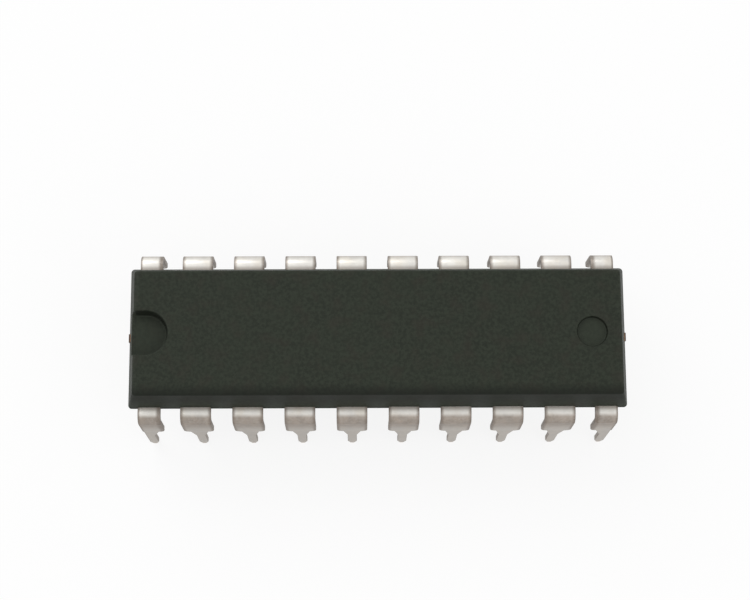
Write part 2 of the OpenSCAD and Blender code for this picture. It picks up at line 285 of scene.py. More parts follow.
def put(tree, kind, inputs=None, **settings):
    """Adds a node, with a value or a link for each named input."""
    made = tree.nodes.new("ShaderNode" + kind)
    for key, value in settings.items():
        setattr(made, key, value)
    for key, value in (inputs or {}).items():
        if isinstance(value, NodeSocket):
            tree.links.new(value, made.inputs[key])
        else:
            made.inputs[key].default_value = value
    return made


def maths(tree, operation, first, second=0.0):
    return put(tree, "Math", {0: first, 1: second}, operation=operation).outputs[0]


def times(tree, first, second):
    return maths(tree, "MULTIPLY", first, second)


def unsigned(tree, value):
    return maths(tree, "ABSOLUTE", value)


def ramp(tree, value, start, end, low=0.0, high=1.0):
    """Runs from low to high as value goes from start to end."""
    inputs = {"Value": value, "From Min": start, "From Max": end, "To Min": low, "To Max": high}
    return put(tree, "MapRange", inputs, interpolation_type="SMOOTHSTEP").outputs["Result"]


def blend(tree, share, first, second):
    """Runs from the first colour to the second as share goes from nought to one."""
    return put(tree, "Mix", {0: share, 6: first, 7: second}, data_type="RGBA").outputs[2]


def rgb(colour, gain=1.0):
    return (*(min(1.0, gain * part) for part in colour), 1.0)


def noise(tree, place, size, detail=2.0, roughness=0.5):
    """Noise whose lumps are about size across."""
    inputs = {"Vector": place, "Scale": 1 / size, "Detail": detail, "Roughness": roughness}
    return put(tree, "TexNoise", inputs).outputs["Fac"]


def cells(tree, place, size, output):
    """Cells about size across: the Distance from the middle of each, or its own Color."""
    return put(tree, "TexVoronoi", {"Vector": place, "Scale": 1 / size}).outputs[output]


def one_channel(tree, colour):
    return put(tree, "SeparateColor", {0: colour}).outputs[0]


def split(tree, vector):
    return put(tree, "SeparateXYZ", {0: vector}).outputs


def facing(tree):
    """Parts of the direction in which the surface faces, along the object's axes."""
    return split(tree, put(tree, "TexCoord").outputs["Normal"])


def stretched(tree, place, along_x, along_y, along_z):
    """Coordinates shortened along each axis, so that a pattern grows longer there."""
    inputs = {"Vector": place, "Scale": (1 / along_x, 1 / along_y, 1 / along_z)}
    return put(tree, "Mapping", inputs).outputs["Vector"]


def bumps(tree, height, depth, strength=1.0, normal=None):
    inputs = {"Height": height, "Distance": depth, "Strength": strength}
    if normal is not None:
        inputs["Normal"] = normal
    return put(tree, "Bump", inputs).outputs["Normal"]


def new_finish(name):
    finish = bpy.data.materials.new(name)
    finish.use_nodes = True
    tree = finish.node_tree
    shader = tree.nodes["Principled BSDF"]
    place = put(tree, "TexCoord").outputs["Object"]
    return finish, tree, shader, place


def feed(tree, shader, **sockets):
    names = {"colour": "Base Color", "roughness": "Roughness", "normal": "Normal"}
    for key, value in sockets.items():
        tree.links.new(value, shader.inputs[names[key]])


# Finishes

def mould_compound(sizes):
    """Black epoxy: fine matt grain, faint mottling, light filler specks and scuffed edges."""
    finish, tree, shader, place = new_finish("mould_compound")
    axes = split(tree, place)
    half_length = (body_high.x - body_low.x) / 2
    half_width = (body_high.y - body_low.y) / 2
    half_height = (body_high.z - body_low.z) / 2
    middle_z = (body_low.z + body_high.z) / 2
    patch_size, grain_size, haze_size = 1.6 * MM, 0.17 * MM, 0.8 * MM
    filler_size, cluster_size, scuff_size = 0.16 * MM, 0.5 * MM, 0.35 * MM
    pit_size, speckle_size = 0.22 * MM, 0.05 * MM
    warm_colour = (0.030, 0.024, 0.019, 1)
    filler_colour = (0.075, 0.078, 0.070, 1)
    scuff_colour = (0.060, 0.063, 0.056, 1)
    # Colour of the painted shade on the walls of the recesses
    recess_wall_shade_colour = (0.004, 0.005, 0.003, 1)

    # Zones along the edges of the top and the underside
    near = []
    for axis, centre, reach, zone in ((0, 0, half_length, 0.65 * MM), (1, 0, half_width, 0.42 * MM),
                                      (2, middle_z, half_height, 0.22 * MM)):
        away = unsigned(tree, maths(tree, "SUBTRACT", axes[axis], centre))
        near.append(ramp(tree, away, reach - zone, reach - zone * 0.45))
    edges = maths(tree, "MAXIMUM", times(tree, near[0], near[2]), times(tree, near[1], near[2]))

    # Mottling, grain, a warm haze, specks of filler and scuffs
    patches = noise(tree, place, patch_size, 4, 0.6)
    tone = blend(tree, ramp(tree, patches, 0.32, 0.68), rgb(sizes.colour, 0.82), rgb(sizes.colour, 0.98))
    grained = ramp(tree, noise(tree, place, grain_size, 4, 0.7), 0.38, 0.62)
    tone = blend(tree, times(tree, grained, 0.8), tone, rgb(sizes.colour, 1.45))
    haze = ramp(tree, noise(tree, place, haze_size, 3), 0.45, 0.75, 0.0, 0.35)
    tone = blend(tree, haze, tone, warm_colour)
    flecks = ramp(tree, cells(tree, place, filler_size, "Distance"), 0.10, 0.04)
    sparse = times(tree, flecks, ramp(tree, noise(tree, place, cluster_size, 2), 0.52, 0.60))
    tone = blend(tree, times(tree, sparse, 0.4), tone, filler_colour)
    scuffs = times(tree, edges, ramp(tree, noise(tree, place, scuff_size, 4, 0.7), 0.46, 0.66))
    tone = blend(tree, times(tree, scuffs, 0.25), tone, scuff_colour)

    # Painted shade along the front edge of the top, and less of it on the wall below
    starts_y, darkest_y = -2.45 * MM, -3.0 * MM
    starts_z, darkest_z = body_high.z - 1.5 * MM, body_high.z - 0.3 * MM
    front_edge = ramp(tree, axes[1], starts_y, darkest_y)
    upper_wall = ramp(tree, axes[2], starts_z, darkest_z)
    painted_front_shade = times(tree, front_edge, upper_wall)
    tone = blend(tree, times(tree, painted_front_shade, 0.65), tone, rgb(sizes.colour, 0.25))

    # The recesses are paler inside, and painted shade darkens their walls
    steep = ramp(tree, unsigned(tree, facing(tree)[2]), 0.95, 0.6)
    recess_side = sizes.notch_width / 2 + 0.05 * MM
    end_wall = half_length - 0.36 * MM
    floor_z = body_high.z - sizes.notch_depth
    within = times(tree, ramp(tree, unsigned(tree, axes[1]), recess_side + 0.1 * MM, recess_side),
                   ramp(tree, unsigned(tree, axes[0]), end_wall, end_wall - 0.06 * MM))
    below_top = times(tree, ramp(tree, axes[2], floor_z - 0.1 * MM, floor_z),
                      ramp(tree, axes[2], body_high.z - 0.02 * MM, body_high.z - 0.08 * MM))
    recess = times(tree, within, below_top)
    tone = blend(tree, times(tree, recess, 0.5), tone, rgb(sizes.colour, 1.5))
    tone = blend(tree, times(tree, times(tree, steep, recess), 0.7), tone, recess_wall_shade_colour)

    matt = ramp(tree, patches, 0.3, 0.7, 0.54, 0.60)
    matt = maths(tree, "SUBTRACT", matt, times(tree, edges, 0.06))
    normal = bumps(tree, noise(tree, place, pit_size, 3, 0.6), 0.004 * MM, 0.5)
    normal = bumps(tree, noise(tree, place, speckle_size, 3, 0.6), 0.0035 * MM, 0.8, normal)
    feed(tree, shader, colour=tone, roughness=matt, normal=normal)
    shader.inputs["Specular IOR Level"].default_value = 0.15
    return finish


def sheared_edges_and_shade(tree, place, sizes):
    """Sheared edges, which face along the row, and the margin beside them on the shoulders: tarnish of the
    bare sheared metal together with painted shade.
    """
    sideways = ramp(tree, unsigned(tree, facing(tree)[0]), 0.15, 0.7)
    along = unsigned(tree, split(tree, place)[0])
    in_pitch = maths(tree, "FRACT", maths(tree, "DIVIDE", along, sizes.pitch))
    off_middle = times(tree, unsigned(tree, maths(tree, "SUBTRACT", in_pitch, 0.5)), sizes.pitch)
    ragged = times(tree, noise(tree, place, 0.15 * MM, 3), 0.05 * MM)
    side_x = sizes.shoulder_width / 2
    margin = ramp(tree, maths(tree, "ADD", off_middle, ragged), side_x - 0.18 * MM, side_x)
    end_x = (LAST_RANK + 0.5) * sizes.pitch + sizes.end_reach_out
    end_margin = ramp(tree, along, end_x - 0.14 * MM, end_x - 0.03 * MM)
    return maths(tree, "MAXIMUM", sideways, maths(tree, "MAXIMUM", margin, end_margin))


def tinned_metal(sizes):
    """Matt tin plating: mottled, burnished round the bend, with painted shade on the legs and at the roots,
    bare at the tips.
    """
    finish, tree, shader, place = new_finish("tinned_lead")
    axes = split(tree, place)
    top, wall = first_high.z, body_high.y
    out = unsigned(tree, axes[1])
    cloud_size, facet_size, haze_size = 0.42 * MM, 0.09 * MM, 0.9 * MM
    streak_size, grain_size = 0.035 * MM, 0.12 * MM
    warm_colour = (0.64, 0.56, 0.44, 1)
    facet_colour = (0.80, 0.79, 0.76, 1)
    bare_colour = (0.62, 0.36, 0.22, 1)

    # Painted shade on the legs, heavier on the front row than the rear row, and from higher up its bends
    front = ramp(tree, axes[1], MM, -MM)
    low = times(tree, ramp(tree, axes[2], top - 0.08 * MM, top - 0.32 * MM),
                ramp(tree, axes[1], -MM, MM, 0.88, 0.5))
    outer = ramp(tree, out, wall + 0.26 * MM, wall + 0.50 * MM, 0.0, 0.85)
    leg = maths(tree, "MAXIMUM", low, times(tree, outer, front))
    blade = ramp(tree, axes[2], top - 0.6 * MM, top - 2.0 * MM)
    root = ramp(tree, out, wall + 0.22 * MM, wall)
    bend = times(tree, ramp(tree, out, wall + 0.05 * MM, wall + 0.3 * MM),
                 ramp(tree, axes[2], top - 0.5 * MM, top - 0.2 * MM))
    tip = ramp(tree, axes[2], 0.10 * MM, 0.02 * MM)

    # Clean tin, then painted shade on the legs, tarnish and painted shade at the sheared edges, painted
    # shade at the roots, crystal facets and bare tips
    cloud = noise(tree, place, cloud_size, 4, 0.62)
    cloudy = ramp(tree, cloud, 0.3, 0.7)
    facets = one_channel(tree, cells(tree, place, facet_size, "Color"))
    clean = blend(tree, cloudy, rgb(sizes.colour, 0.92), rgb(sizes.colour, 1.06))
    haze = ramp(tree, noise(tree, place, haze_size, 3), 0.45, 0.7, 0, 0.3)
    clean = blend(tree, haze, clean, warm_colour)
    # Painted shade for the legs, lighter towards the blades
    leg_shade_tone = blend(tree, cloudy, rgb(sizes.shade_and_tarnish_colour, 0.85), rgb(sizes.shade_and_tarnish_colour, 1.25))
    leg_shade_tone = blend(tree, times(tree, blade, 0.45), leg_shade_tone, rgb(sizes.colour, 0.8))
    tone = blend(tree, leg, clean, leg_shade_tone)
    sheared = sheared_edges_and_shade(tree, place, sizes)
    # Tarnish and painted shade at the sheared edges and their margins
    tone = blend(tree, times(tree, sheared, 0.85), tone, rgb(sizes.shade_and_tarnish_colour, 0.8))
    # Painted shade at the roots, where the leads meet the body
    tone = blend(tree, times(tree, root, 0.55), tone, rgb(sizes.shade_and_tarnish_colour, 0.9))
    tone = blend(tree, times(tree, facets, 0.10), tone, facet_colour)
    bare = times(tree, tip, ramp(tree, cloud, 0.3, 0.6, 0.5, 1))
    tone = blend(tree, bare, tone, bare_colour)

    matt = ramp(tree, cloud, 0.3, 0.7, 0.44, 0.56)
    matt = maths(tree, "SUBTRACT", matt, times(tree, bend, 0.08))
    matt = maths(tree, "ADD", matt, times(tree, facets, 0.05))
    matt = maths(tree, "ADD", matt, times(tree, leg, 0.06))
    streaks = noise(tree, stretched(tree, place, 1, 14, 14), streak_size, 3, 0.6)
    normal = bumps(tree, noise(tree, place, grain_size, 3, 0.6), 0.003 * MM, 0.5)
    normal = bumps(tree, streaks, 0.002 * MM, 0.6, normal)
    shader.inputs["Metallic"].default_value = 1.0
    feed(tree, shader, colour=tone, roughness=matt, normal=normal)
    return finish


def rolled_copper(colours):
    """Bare copper alloy: rolling lines along the strip, tarnish and rough sheared ends."""
    finish, tree, shader, place = new_finish("leadframe_copper")
    sheared_colour = (0.07, 0.052, 0.042, 1)
    line_size, tarnish_size, tear_size = 0.03 * MM, 0.5 * MM, 0.05 * MM
    lines = noise(tree, stretched(tree, place, 25, 1, 1), line_size, 3, 0.6)
    tarnish = noise(tree, place, tarnish_size, 4, 0.6)
    along = unsigned(tree, split(tree, place)[0])
    sheared = ramp(tree, along, body_high.x - 0.03 * MM, body_high.x)
    tone = blend(tree, ramp(tree, tarnish, 0.35, 0.7), rgb(colours.copper), rgb(colours.copper, 0.62))
    tone = blend(tree, ramp(tree, lines, 0.4, 0.7, 0, 0.3), tone, rgb(colours.copper, 1.2))
    tone = blend(tree, times(tree, sheared, 0.95), tone, sheared_colour)
    matt = maths(tree, "ADD", ramp(tree, tarnish, 0.3, 0.7, 0.28, 0.44), times(tree, sheared, 0.2))
    torn = times(tree, sheared, noise(tree, place, tear_size, 3))
    normal = bumps(tree, torn, 0.01 * MM, 0.8, bumps(tree, lines, 0.0015 * MM, 0.6))
    shader.inputs["Metallic"].default_value = 1.0
    feed(tree, shader, colour=tone, roughness=matt, normal=normal)
    return finish


def silver_adhesive(colours):
    """Cured adhesive full of silver flakes."""
    finish, tree, shader, place = new_finish("die_adhesive")
    flake_size, lump_size = 0.015 * MM, 0.08 * MM
    shine = one_channel(tree, cells(tree, place, flake_size, "Color"))
    lumps = noise(tree, place, lump_size, 3, 0.6)
    tone = blend(tree, ramp(tree, shine, 0.2, 0.9), rgb(colours.adhesive, 0.7), rgb(colours.adhesive, 1.35))
    shader.inputs["Metallic"].default_value = 0.55
    feed(tree, shader, colour=tone, roughness=ramp(tree, shine, 0, 1, 0.62, 0.36),
         normal=bumps(tree, lumps, 0.004 * MM, 0.7))
    return finish


def circuit_silicon(colours):
    """Polished silicon with plain blocks and tracks under a clear layer, and a sawn edge."""
    finish, tree, shader, place = new_finish("silicon_die")
    block_size, track_size, saw_size = 0.42 * MM, 0.06 * MM, 0.02 * MM
    block_colour = (0.16, 0.13, 0.20, 1)
    track_colour = (0.42, 0.40, 0.38, 1)
    sawn_colour = (0.16, 0.16, 0.17, 1)
    track_grey = (0.25, 0.25, 0.25, 1)
    blocks = put(tree, "TexVoronoi", {"Vector": place, "Scale": 1 / block_size, "Randomness": 0.7},
                 distance="CHEBYCHEV", voronoi_dimensions="2D").outputs["Color"]
    tracks = put(tree, "TexBrick", {"Vector": place, "Scale": 1 / track_size, "Mortar Size": 0.09,
                                    "Color1": (0, 0, 0, 1), "Color2": track_grey,
                                    "Mortar": (1, 1, 1, 1)}).outputs["Color"]
    metal = one_channel(tree, tracks)
    face = ramp(tree, split(tree, place)[2], die_high.z - 0.004 * MM, die_high.z - 0.001 * MM)
    tone = blend(tree, one_channel(tree, blocks), rgb(colours.silicon), block_colour)
    tone = blend(tree, times(tree, metal, 0.5), tone, track_colour)
    tone = blend(tree, face, sawn_colour, tone)
    sawn = times(tree, maths(tree, "SUBTRACT", 1.0, face), noise(tree, place, saw_size, 3))
    relief = maths(tree, "ADD", sawn, times(tree, metal, 0.2))
    shader.inputs["Metallic"].default_value = 0.35
    shader.inputs["Coat Weight"].default_value = 0.6
    feed(tree, shader, colour=tone, roughness=ramp(tree, face, 0, 1, 0.55, 0.16),
         normal=bumps(tree, relief, 0.003 * MM, 0.8))
    return finish


def drawn_gold(colours):
    """Drawn gold wire with fine drawing lines."""
    finish, tree, shader, place = new_finish("gold_wire")
    line_size, cloud_size = 0.006 * MM, 0.06 * MM
    lines = noise(tree, stretched(tree, place, 6, 6, 1), line_size, 2)
    cloud = noise(tree, place, cloud_size, 3)
    tone = blend(tree, cloud, rgb(colours.gold, 0.88), rgb(colours.gold, 1.05))
    shader.inputs["Metallic"].default_value = 1.0
    feed(tree, shader, colour=tone, roughness=ramp(tree, cloud, 0.3, 0.7, 0.16, 0.30),
         normal=bumps(tree, lines, 0.0006 * MM, 0.5))
    return finish


def dress(node_names, finish):
    """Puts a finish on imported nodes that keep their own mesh."""
    for name in node_names:
        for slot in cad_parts[name].material_slots:
            slot.material = finish


# Body

def recess_cutter(name, centre_x, floor_z, mouth_z, floor_radius, draft, fillet):
    """Round drafted plug that cuts a recess between its floor and its mouth."""
    round_sides = 96
    deselect_everything()
    depth = abs(mouth_z - floor_z)
    mouth_radius = floor_radius + depth * math.tan(draft)
    low_radius, high_radius = floor_radius, mouth_radius
    if mouth_z < floor_z:
        low_radius, high_radius = mouth_radius, floor_radius
    bpy.ops.mesh.primitive_cone_add(vertices=round_sides, radius1=low_radius, radius2=high_radius,
                                    depth=depth, location=(centre_x, 0, (floor_z + mouth_z) / 2))
    plug = added(name)
    edit(plug, "EDGE")
    select(plug, "edges", lambda e: all(abs(v.co.z - floor_z) < SLACK for v in e.verts))
    bpy.ops.mesh.bevel(offset=fillet, segments=5, profile=0.5, affect="EDGES")
    leave_edit()
    return plug


def cut(piece, plug):
    apply_modifier(piece, "BOOLEAN", operation="DIFFERENCE", object=plug, solver="MANIFOLD")
    bpy.data.objects.remove(plug)


def on_rim(sizes, edge):
    """Whether an edge belongs to the notch, the dimple or an ejector mark."""
    half_length = sizes.body_length / 2
    slack = 3 * SLACK
    dimple_radius, ejector_radius = sizes.dimple_diameter / 2, sizes.ejector_diameter / 2
    marks = ((half_length - sizes.dimple_inset, dimple_radius),
             (half_length - sizes.ejector_inset, ejector_radius),
             (sizes.ejector_inset - half_length, ejector_radius))
    for vert in edge.verts:
        place = vert.co
        in_notch = (abs(place.y) < sizes.notch_width / 2 + slack
                    and place.x < sizes.notch_length - half_length + slack
                    and place.z > body_high.z - sizes.notch_depth - slack)
        in_mark = any(math.hypot(place.x - x, place.y) < radius + slack for x, radius in marks)
        if not (in_notch or in_mark):
            return False
    return True


def mould_body(sizes):
    half_length, half_width = sizes.body_length / 2, sizes.body_width / 2
    low_z, high_z = body_low.z, body_high.z
    parting_z = first_high.z - sizes.thickness / 2
    upright_rise = 0.5 * MM
    square_on, near_upright = 0.99, 0.5
    sharp = math.radians(28)
    cross_cuts = (0.4, 0.7)
    notch_fillet, dimple_fillet, ejector_fillet = 0.1 * MM, 0.07 * MM, 0.02 * MM
    ejector_draft = math.radians(1)
    clear = 0.4 * MM
    deselect_everything()
    bpy.ops.mesh.primitive_cube_add(size=1, location=(0, 0, (low_z + high_z) / 2))
    body = added("moulded_body")
    edit(body, "FACE")
    bpy.ops.mesh.select_all(action="SELECT")
    bpy.ops.transform.resize(value=(2 * half_length, 2 * half_width, high_z - low_z),
                             center_override=(0, 0, (low_z + high_z) / 2))
    cut_across((0, 0, parting_z), (0, 0, 1))

    # Draft of the two halves
    for face_z, depth in ((high_z, high_z - parting_z), (low_z, parting_z - low_z)):
        select(body, "faces", lambda f: all(abs(v.co.z - face_z) < SLACK for v in f.verts))
        shrink = (1 - depth * math.tan(sizes.end_draft) / half_length,
                  1 - depth * math.tan(sizes.side_draft) / half_width, 1)
        bpy.ops.transform.resize(value=shrink, center_override=(0, 0, face_z))

    # Upright corners, then the edges round the top and the underside
    bpy.ops.mesh.select_mode(type="EDGE")
    select(body, "edges", lambda e: abs(e.verts[0].co.z - e.verts[1].co.z) > upright_rise)
    bpy.ops.mesh.bevel(offset=sizes.corner_setback, segments=5, profile=0.5, affect="EDGES")
    select(body, "edges", lambda e: all(abs(v.co.z - low_z) < SLACK for v in e.verts)
           or all(abs(v.co.z - high_z) < SLACK for v in e.verts))
    bpy.ops.mesh.bevel(offset=sizes.edge_setback, segments=6, profile=0.5, affect="EDGES")

    # Cross cuts keep every face short, so that none is a sliver
    for side in (-1, 1):
        for rank in range(LAST_RANK + 1):
            cut_across(((rank + 0.5) * LEAD_PITCH * side, 0, 0), (1, 0, 0))
        for share in cross_cuts:
            cut_across((0, share * half_width * side, 0), (0, 1, 0))
    leave_edit()

    # Orientation notch, open at the end
    radius = sizes.notch_width / 2
    floor_z = high_z - sizes.notch_depth
    centre_x = sizes.notch_length - radius - half_length
    plug = recess_cutter("notch_plug", centre_x, floor_z, high_z + clear,
                         radius - sizes.notch_depth * math.tan(sizes.recess_draft), sizes.recess_draft,
                         notch_fillet)
    edit(plug, "FACE")
    bpy.ops.mesh.select_all(action="SELECT")
    bpy.ops.mesh.bisect(plane_co=(centre_x, 0, 0), plane_no=(1, 0, 0), use_fill=True, clear_inner=True,
                        threshold=BISECT_SLACK)
    select(plug, "faces", lambda f: f.normal.x < -square_on)
    bpy.ops.mesh.extrude_region_move(
        TRANSFORM_OT_translate={"value": (-half_length - clear - centre_x, 0, 0)})
    leave_edit()
    close_up(plug)
    cut(body, plug)

    dimple_radius = sizes.dimple_diameter / 2 - sizes.dimple_depth * math.tan(sizes.recess_draft)
    cut(body, recess_cutter("dimple_plug", half_length - sizes.dimple_inset, high_z - sizes.dimple_depth,
                            high_z + clear, dimple_radius, sizes.recess_draft, dimple_fillet))
    for end in (-1, 1):
        cut(body, recess_cutter("ejector_plug", end * (half_length - sizes.ejector_inset),
                                low_z + sizes.ejector_depth, low_z - clear, sizes.ejector_diameter / 2,
                                ejector_draft, ejector_fillet))

    # Rims of the recesses
    edit(body, "EDGE")
    select(body, "edges", lambda e: e.calc_face_angle(0) > sharp and on_rim(sizes, e))
    bpy.ops.mesh.bevel(offset=sizes.rim_setback, segments=3, profile=0.5, affect="EDGES")

    # Thin ridge of flash where the two halves of the mould met
    bpy.ops.mesh.select_mode(type="FACE")
    for side in (-1, 1):
        cut_across((0, 0, parting_z + side * sizes.flash_height / 2), (0, 0, 1))
    select(body, "faces", lambda f: abs(f.calc_center_median().z - parting_z) < sizes.flash_height / 2
           and abs(f.normal.z) < near_upright)
    taper = sizes.flash_height / 8
    bpy.ops.mesh.inset(thickness=taper, depth=sizes.flash_reach, use_even_offset=True)
    leave_edit()
    close_up(body)
    smooth(body)
    return body


# Leads

def shoulder_radius(sizes, reach):
    return min(sizes.corner_radius, reach - sizes.blade_width / 2)


def leg_half_width(sizes, reach, height):
    """Half width of a leg at a height, on the side whose shoulder has that reach."""
    blade = sizes.blade_width / 2
    seat = sizes.seating_height
    radius = shoulder_radius(sizes, reach)
    neck = max(min(sizes.neck_width / 2, reach - radius), blade)
    if height >= seat + radius:
        return reach
    if height >= seat:
        drop = seat + radius - height
        return max(reach - radius + math.sqrt(max(radius ** 2 - drop ** 2, 0.0)), neck)
    if height >= seat - sizes.neck_length:
        return neck + (blade - neck) * (seat - height) / sizes.neck_length
    if height >= sizes.tip_length:
        return blade
    return sizes.tip_width / 2 + (blade - sizes.tip_width / 2) * height / sizes.tip_length


def leg_heights(sizes, reaches):
    """Heights at which a leg changes its width, from the shoulder down."""
    seat = sizes.seating_height
    heights = {seat, seat - sizes.neck_length, sizes.tip_length, 0.0}
    smallest_round, round_steps = 0.1 * MM, 6
    for reach in reaches:
        radius = shoulder_radius(sizes, reach)
        steps = round_steps if radius > smallest_round else 1
        for step in range(steps):
            heights.add(seat + radius * (1 - math.sin(math.pi / 2 * step / steps)))
    return sorted(heights, reverse=True)


def mitre(first, second):
    """Sideways offset that keeps a strip's edges parallel where it turns."""
    left, right = Vector((-first.y, first.x)), Vector((-second.y, second.x))
    return (left + right) / (1 + left.dot(right))


def finger_sides(sizes, rank, root_x, root_y):
    """Points of both sides of a finger from its root to its tip, seen from above."""
    half_tip = sizes.finger_width / 2
    if rank < RANKS_BESIDE_PAD:
        tip = Vector(((rank + 0.5) * sizes.tip_pitch, sizes.pad_width / 2 + sizes.pad_gap))
        knee = tip + Vector((0, sizes.tip_straight))
        ahead = Vector((0, -1))
    else:
        tip_y = (sizes.tie_width / 2 + sizes.finger_gap + half_tip
                 + (LAST_RANK - rank) * (sizes.finger_width + sizes.finger_gap))
        tip = Vector((sizes.pad_length / 2 + sizes.pad_gap, tip_y))
        knee = Vector((root_x - (root_y - tip_y) / math.tan(sizes.finger_slope), tip_y))
        ahead = Vector((-1, 0))
    root = Vector((root_x, root_y))
    turned = mitre((knee - root).normalized(), ahead) * half_tip
    side = Vector((-ahead.y, ahead.x)) * half_tip
    half_root = Vector((sizes.finger_root / 2, 0))
    return [root + half_root, knee + turned, tip + side], [root - half_root, knee - turned, tip - side]


def draw_out(piece, before, after):
    """Extrudes the selected end of a strip and moves each of its corners to its new place."""
    bpy.ops.mesh.extrude_region_move()
    mesh = bmesh.from_edit_mesh(piece.data)
    for corner in [v for v in mesh.verts if v.select]:
        nearest = min(range(len(before)), key=lambda i: (corner.co - before[i]).length)
        corner.co = after[nearest]
    bmesh.update_edit_mesh(piece.data)
    return after


def form_lead(sizes, rank):
    """One lead in the quarter at +X and +Y: rank 0 stands nearest the middle."""
    half_t = sizes.thickness / 2
    chamfer, overlap = 0.01 * MM, 0.05 * MM
    strip_z = first_high.z - half_t
    wall_y = body_high.y
    bend_y = wall_y + sizes.reach - sizes.thickness - sizes.bend_radius
    bend_z = strip_z - half_t - sizes.bend_radius
    middle_radius = sizes.bend_radius + half_t
    offset = bend_y - sizes.row_spacing / 2
    lean = math.atan2(offset, bend_z) + math.asin(middle_radius / math.hypot(offset, bend_z))
    middle_x = (rank + 0.5) * sizes.pitch
    reach_in = sizes.end_reach_in if rank == LAST_RANK else sizes.shoulder_width / 2
    reach_out = sizes.end_reach_out if rank == LAST_RANK else sizes.shoulder_width / 2
    root_y = wall_y - sizes.root_length

    def flat(y, cut_in=0.0):
        near, far = middle_x - reach_in + cut_in, middle_x + reach_out - cut_in
        return [Vector((near, y, strip_z - half_t)), Vector((far, y, strip_z - half_t)),
                Vector((far, y, strip_z + half_t)), Vector((near, y, strip_z + half_t))]

    def leg(height, near, far):
        corners = []
        for x, radius in ((near, 0), (far, 0), (far, 1), (near, 1)):
            out = sizes.bend_radius + radius * sizes.thickness
            run = (bend_z - out * math.sin(lean) - height) / math.cos(lean)
            corners.append(Vector((x, bend_y + out * math.cos(lean) - run * math.sin(lean), height)))
        return corners

    # Section of the strip where the root ends
    deselect_everything()
    bpy.ops.mesh.primitive_plane_add(size=1, rotation=(math.pi / 2, 0, 0))
    lead = added(f"tinned_lead_{LEADS_PER_SIDE + HALF_ROW - rank:02d}")
    edit(lead, "FACE")
    bpy.ops.mesh.select_all(action="SELECT")
    bpy.ops.transform.resize(value=(reach_in + reach_out, 1, sizes.thickness), center_override=(0, 0, 0))
    bpy.ops.transform.translate(value=(middle_x + (reach_out - reach_in) / 2, root_y, strip_z))

    # Root with its anchor notches, out to the bend
    notch_far = wall_y - sizes.anchor_inset
    notch_near = notch_far - sizes.anchor_width
    at = flat(root_y)
    for y, cut_in in ((notch_near, 0), (notch_near + chamfer, sizes.anchor_depth),
                      (notch_far - chamfer, sizes.anchor_depth), (notch_far, 0), (bend_y, 0)):
        at = draw_out(lead, at, flat(y, cut_in))
    bpy.ops.mesh.spin(steps=sizes.bend_steps, angle=math.pi / 2 + lean, center=(middle_x, bend_y, bend_z),
                      axis=(1, 0, 0))

    # Leg: shoulder, neck, blade and tip
    at = leg(bend_z, middle_x - reach_in, middle_x + reach_out)
    for height in leg_heights(sizes, (reach_in, reach_out)):
        near = middle_x - leg_half_width(sizes, reach_in, height)
        far = middle_x + leg_half_width(sizes, reach_out, height)
        at = draw_out(lead, at, leg(height, near, far))

    # Finger inside the body, from the root inwards
    select(lead, "faces", lambda f: all(abs(v.co.y - root_y) < FINE_SLACK for v in f.verts))
    far_side, near_side = finger_sides(sizes, rank, middle_x + (reach_out - reach_in) / 2, root_y + overlap)
    start_y = root_y - chamfer
    for side in (near_side, far_side):
        side[0] = side[0].lerp(side[1], (side[0].y - start_y) / (side[0].y - side[1].y))
    at = flat(root_y)
    for near, far in zip(near_side, far_side):
        at = draw_out(lead, at, [Vector((*near, strip_z - half_t)), Vector((*far, strip_z - half_t)),
                                 Vector((*far, strip_z + half_t)), Vector((*near, strip_z + half_t))])
    leave_edit()
    close_up(lead)
    return lead


def mirrored(lead, name, side_x, side_y):
    """Copy of a lead in another quarter of the package."""
    pick(lead)
    bpy.ops.object.duplicate(linked=False)
    copy = bpy.context.view_layer.objects.active
    copy.name = name
    copy.data.name = name
    copy.scale = (side_x, side_y, 1)
    bpy.ops.object.transform_apply(location=True, rotation=True, scale=True)
    close_up(copy)
    return copy


def form_leads(sizes):
    leads = {}
    sharp = math.radians(40)
    for rank in range(LAST_RANK + 1):
        first = form_lead(sizes, rank)
        before, after = HALF_ROW - rank, HALF_ROW + 1 + rank
        leads[LEADS_PER_SIDE + before] = first
        for number, side_x, side_y in ((LEADS_PER_SIDE + after, -1, 1), (after, 1, -1), (before, -1, -1)):
            leads[number] = mirrored(first, f"tinned_lead_{number:02d}", side_x, side_y)
    for lead in leads.values():
        apply_modifier(lead, "BEVEL", width=sizes.edge_rounding, segments=3, limit_method="ANGLE",
                       angle_limit=sharp, use_clamp_overlap=False)
        smooth(lead)
    return leads


# Operators

class PACKAGE_OT_mould_body(Operator):
    """Mould the body with its notch, dimple, ejector marks and parting line"""

    bl_idname = "package.mould_body"
    bl_label = "Mould Body"

    def execute(self, context):
        sizes = context.scene.package_body
        keep(mould_body(sizes), mould_compound(sizes), "mould_compound", "body")
        return {"FINISHED"}


class PACKAGE_OT_form_leads(Operator):
    """Form the twenty leads with their shoulders, bends and pointed blades"""

    bl_idname = "package.form_leads"
    bl_label = "Form Leads"

    def execute(self, context):
        sizes = context.scene.package_leads
        finish = tinned_metal(sizes)
        for number, lead in form_leads(sizes).items():
            keep(lead, finish, "tinned_lead", f"lead_{number:02d}")
        return {"FINISHED"}


class PACKAGE_OT_finish_die_pad(Operator):
    """Give the die pad and its tie bars their rolled copper finish"""

    bl_idname = "package.finish_die_pad"
    bl_label = "Finish Die Pad"

    def execute(self, context):
        dress(["die_pad"], rolled_copper(context.scene.package_core))
        return {"FINISHED"}


